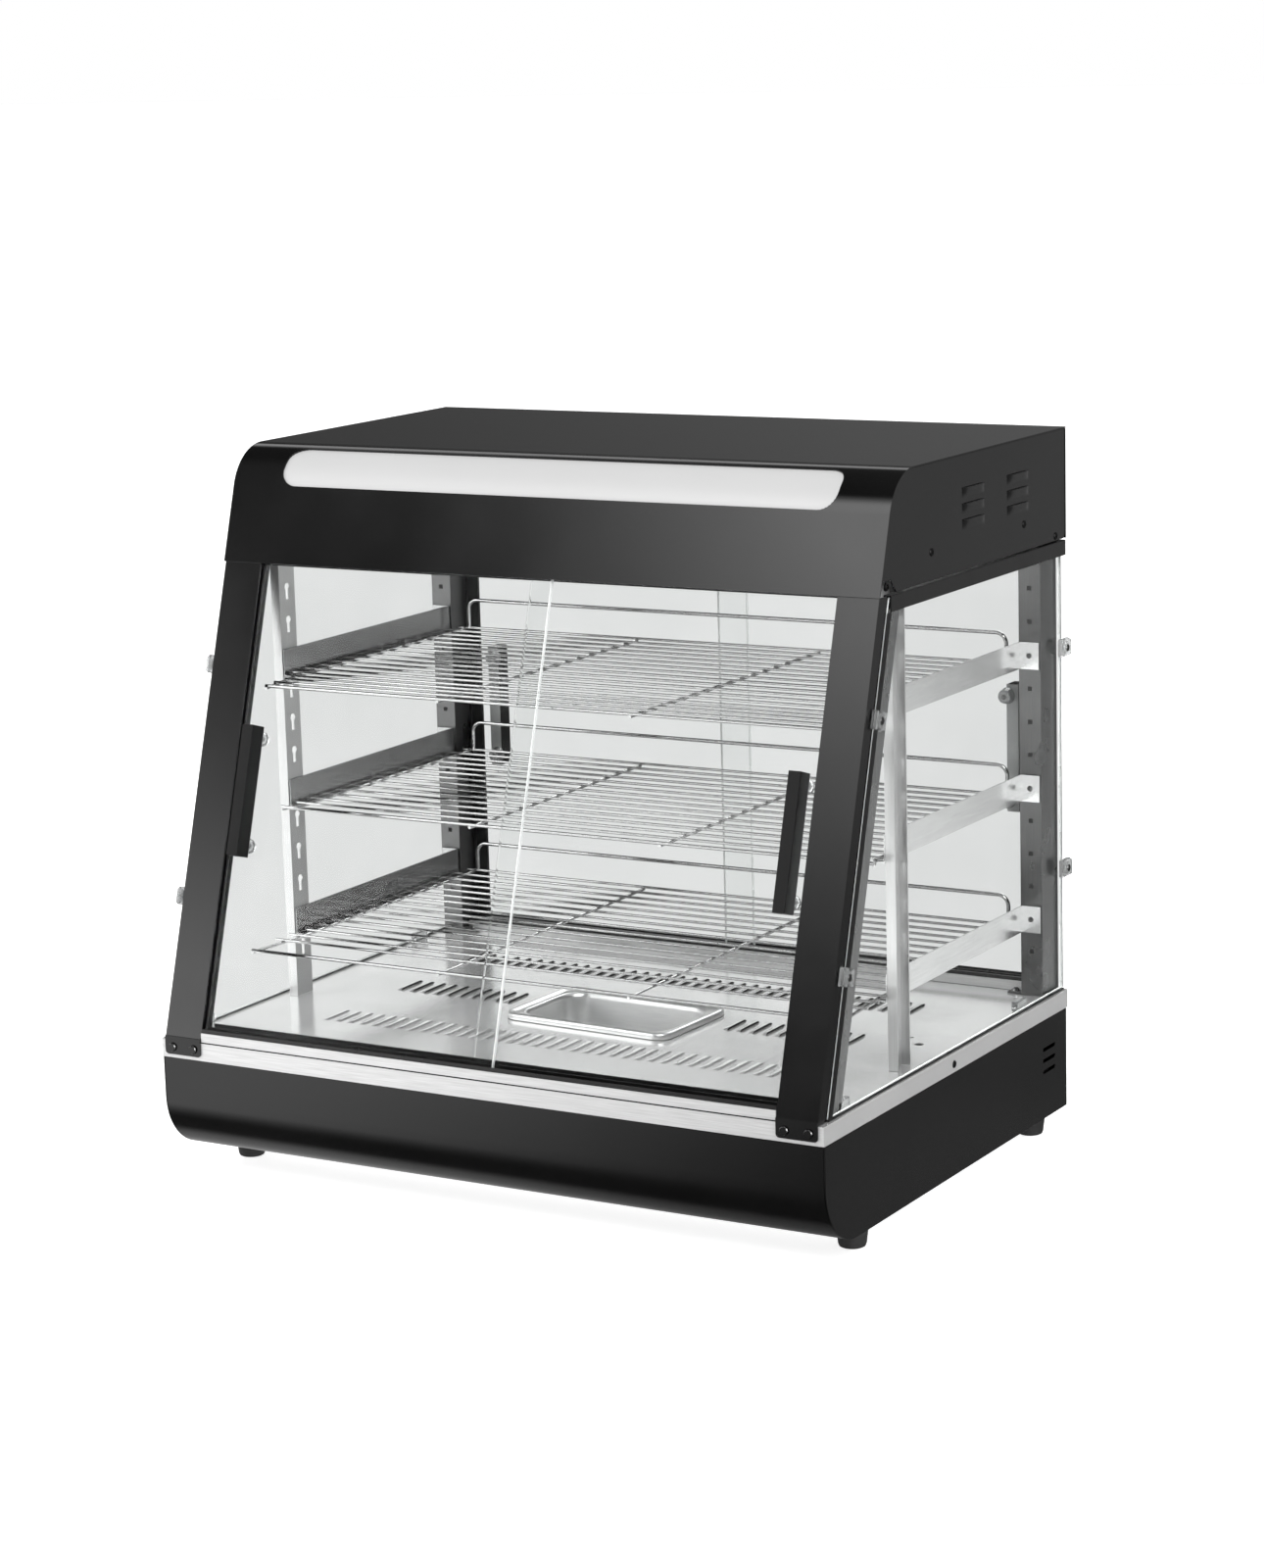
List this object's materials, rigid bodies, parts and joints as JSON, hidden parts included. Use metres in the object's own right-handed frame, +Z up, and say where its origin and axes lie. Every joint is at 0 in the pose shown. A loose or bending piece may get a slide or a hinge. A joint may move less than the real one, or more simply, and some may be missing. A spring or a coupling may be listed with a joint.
{
  "type": "hot food display case",
  "caption": "Countertop heated food display case: slanted front and rear sliding glass doors, wire racks on side rails, water pan and lit hood.",
  "frame": {"origin": "on the counter under the middle of the case", "axes": "+X to the viewer's right seen from the customer side, +Y towards the service side, +Z up"},
  "size_m": [0.66, 0.5002, 0.64],
  "materials": {
    "black_painted_steel": "semi-gloss powder coat",
    "grey_painted_steel": "satin grey",
    "brushed_stainless": "brushed, satin",
    "chromed_wire": "polished",
    "clear_glass": "clear tempered glass",
    "black_plastic": "fine grain black",
    "black_rubber": "matte",
    "white_diffuser": "translucent white",
    "lamp_glass": "frosted tube",
    "white_plastic": "satin"
  },
  "bodies": {
    "case": {"base_bottom_plate": "brushed_stainless", "base_front_panel": "black_painted_steel", "base_rear_panel": "black_painted_steel", "base_side_panel_left": "black_painted_steel", "base_side_panel_right": "black_painted_steel", "cord_gland": "black_plastic", "floor_tray": "brushed_stainless", "foot_front_left": "black_rubber", "foot_front_right": "black_rubber", "foot_rear_left": "black_rubber", "foot_rear_right": "black_rubber", "front_angle_left": "brushed_stainless", "front_angle_right": "brushed_stainless", "front_lower_track": "black_plastic", "front_post_left": "black_painted_steel", "front_post_right": "black_painted_steel", "front_sill": "brushed_stainless", "front_upper_track": "black_plastic", "heating_element": "brushed_stainless", "hood_ceiling": "brushed_stainless", "hood_rear_panel": "black_painted_steel", "hood_shell": "black_painted_steel", "hood_side_left": "black_painted_steel", "hood_side_right": "black_painted_steel", "lamp_fixture": "white_plastic", "lamp_tube": "lamp_glass", "rail_bottom_left": "brushed_stainless", "rail_bottom_right": "brushed_stainless", "rail_middle_left": "brushed_stainless", "rail_middle_right": "brushed_stainless", "rail_top_left": "brushed_stainless", "rail_top_right": "brushed_stainless", "rear_lower_track": "black_plastic", "rear_post_left": "grey_painted_steel", "rear_post_right": "grey_painted_steel", "rear_upper_track": "black_plastic", "side_glass_channel_left": "black_plastic", "side_glass_channel_right": "black_plastic", "side_glass_left": "clear_glass", "side_glass_right": "clear_glass", "sign_diffuser": "white_diffuser", "switch_housing": "black_plastic", "thermostat_body": "white_plastic", "upright_left": "brushed_stainless", "upright_right": "brushed_stainless"},
    "front_door_left": {"front_door_left_glass": "clear_glass", "front_door_left_handle": "black_plastic"},
    "front_door_right": {"front_door_right_glass": "clear_glass", "front_door_right_handle": "black_plastic"},
    "rear_door_left": {"rear_door_left_glass": "clear_glass", "rear_door_left_handle": "black_plastic"},
    "rear_door_right": {"rear_door_right_glass": "clear_glass", "rear_door_right_handle": "black_plastic"},
    "rack_top": {"rack_top": "chromed_wire"},
    "rack_middle": {"rack_middle": "chromed_wire"},
    "rack_bottom": {"rack_bottom": "chromed_wire"},
    "water_pan": {"water_pan": "brushed_stainless"},
    "thermostat_knob": {"thermostat_knob": "black_plastic"},
    "power_rocker": {"power_rocker": "black_plastic"},
    "light_rocker": {"light_rocker": "black_plastic"}
  },
  "joints": [
    {"name": "front_door_left_slide", "type": "slide", "parent": "case", "child": "front_door_left", "axis": [1, 0, 0], "range_m": [0, 0.24]},
    {"name": "front_door_right_slide", "type": "slide", "parent": "case", "child": "front_door_right", "axis": [1, 0, 0], "range_m": [-0.24, 0]},
    {"name": "rear_door_left_slide", "type": "slide", "parent": "case", "child": "rear_door_left", "axis": [1, 0, 0], "range_m": [0, 0.24]},
    {"name": "rear_door_right_slide", "type": "slide", "parent": "case", "child": "rear_door_right", "axis": [1, 0, 0], "range_m": [-0.24, 0]},
    {"name": "rack_top_lift", "type": "slide", "parent": "case", "child": "rack_top", "axis": [0, 0.291, 0.9567], "range_m": [0, 0.015]},
    {"name": "rack_middle_lift", "type": "slide", "parent": "case", "child": "rack_middle", "axis": [0, 0, 1], "range_m": [0, 0.03]},
    {"name": "rack_bottom_lift", "type": "slide", "parent": "case", "child": "rack_bottom", "axis": [0, 0, 1], "range_m": [0, 0.03]},
    {"name": "water_pan_lift", "type": "slide", "parent": "case", "child": "water_pan", "axis": [0, 0, 1], "range_m": [0, 0.05]},
    {"name": "thermostat_knob_turn", "type": "hinge", "parent": "case", "child": "thermostat_knob", "pos_m": [0.225, 0.23315, 0.068], "axis": [0, -1, 0], "range_deg": [0, 270]},
    {"name": "power_rocker_tilt", "type": "hinge", "parent": "case", "child": "power_rocker", "pos_m": [0.133, 0.23485, 0.068], "axis": [1, 0, 0], "range_deg": [0, 20]},
    {"name": "light_rocker_tilt", "type": "hinge", "parent": "case", "child": "light_rocker", "pos_m": [0.163, 0.23485, 0.068], "axis": [1, 0, 0], "range_deg": [0, 20]}
  ]
}
